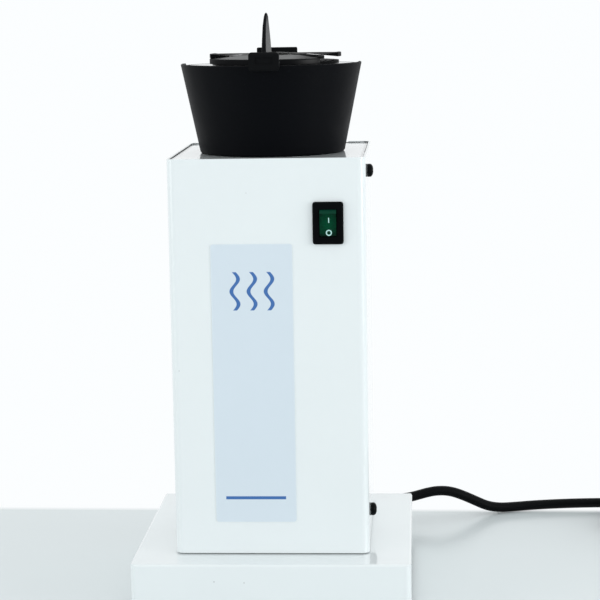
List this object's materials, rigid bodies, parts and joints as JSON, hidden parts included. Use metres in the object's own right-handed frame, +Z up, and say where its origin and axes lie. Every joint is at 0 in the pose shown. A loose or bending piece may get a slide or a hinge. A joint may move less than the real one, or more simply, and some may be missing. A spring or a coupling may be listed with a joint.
{
  "type": "eyeglass frame warmer",
  "caption": "Countertop hot air warmer: a square tower on a flat base blows heated air through a cup with a rotary shutter lid, for softening eyeglass frames.",
  "frame": {"origin": "on the surface it stands on, at the middle of the base's footprint", "axes": "+X to the right seen from the front, where the switch is; -Y to the front; +Z up the tower"},
  "size_m": [0.3423, 0.2232, 0.3002],
  "materials": {
    "white_paint": "glossy white powder coat",
    "zinc_sheet": "galvanised sheet steel",
    "black_rubber": "matt rubber",
    "steel_screw": "zinc plated steel",
    "black_screw": "black oxide steel screws",
    "cream_plastic": "matt moulded plastic",
    "brass_part": "bare brass",
    "label_film": "pale blue grey satin film",
    "switch_black": "black moulded plastic",
    "rocker_green": "dark green translucent plastic",
    "dark_plastic": "dark moulded plastic",
    "mica_board": "pressed mica board",
    "heater_wire": "oxidised resistance wire",
    "cutout_brown": "brown moulded phenolic",
    "collar_steel": "bare steel, slightly brushed",
    "cup_black": "matt black, very fine grain",
    "lid_black": "satin black moulded plastic",
    "shutter_black": "satin black moulded plastic, slightly lighter",
    "cord_black": "smooth black cable sheath",
    "pin_nickel": "nickel plated pins"
  },
  "bodies": {
    "housing": {"base_shell": "white_paint", "base_plate": "zinc_sheet", "rubber_feet": "black_rubber", "base_screws": "steel_screw", "terminal_block": "cream_plastic", "earth_screw": "brass_part", "tower_gasket": "black_rubber", "chassis_frame": "zinc_sheet", "tower_screws": "steel_screw", "tower_cover": "white_paint", "cover_screws": "black_screw", "rear_panel": "white_paint", "rear_screws": "black_screw", "top_plate": "white_paint", "label_plate": "label_film", "switch_housing": "switch_black", "switch_terminals": "brass_part", "fan_shroud": "dark_plastic", "fan_motor": "zinc_sheet", "air_funnel": "zinc_sheet", "heater_tube": "zinc_sheet", "heater_bands": "zinc_sheet", "mica_cross": "mica_board", "heating_wire": "heater_wire", "thermal_cutout": "cutout_brown", "outlet_collar": "collar_steel", "cord_relief": "cord_black", "relief_nut": "cord_black", "cord_lead": "cord_black", "cord_coil": "cord_black", "cord_tail": "cord_black", "plug_body": "cord_black", "plug_pins": "pin_nickel"},
    "rocker": {"switch_rocker": "rocker_green"},
    "fan": {"motor_shaft": "steel_screw", "fan_impeller": "dark_plastic"},
    "cup": {"nozzle_cup": "cup_black"},
    "lid": {"lid_base": "lid_black", "lid_wings": "lid_black", "lid_pivot": "lid_black"},
    "shutter": {"lid_shutter": "shutter_black"}
  },
  "joints": [
    {"name": "switch_tilt", "type": "hinge", "parent": "housing", "child": "rocker", "pos_m": [0.0304, -0.049, 0.198], "axis": [-1, 0, 0], "range_deg": [0, 18]},
    {"name": "fan_spin", "type": "hinge", "parent": "housing", "child": "fan", "pos_m": [0, 0, 0.046], "axis": [0, 0, 1], "continuous": true},
    {"name": "cup_lift", "type": "slide", "parent": "housing", "child": "cup", "axis": [0, 0, 1], "range_m": [0, 0.06]},
    {"name": "lid_lift", "type": "slide", "parent": "cup", "child": "lid", "axis": [0, 0, 1], "range_m": [0, 0.04]},
    {"name": "shutter_turn", "type": "hinge", "parent": "lid", "child": "shutter", "pos_m": [0.0023, 0, 0.277], "axis": [0, 0, 1], "range_deg": [-62, 75]}
  ]
}
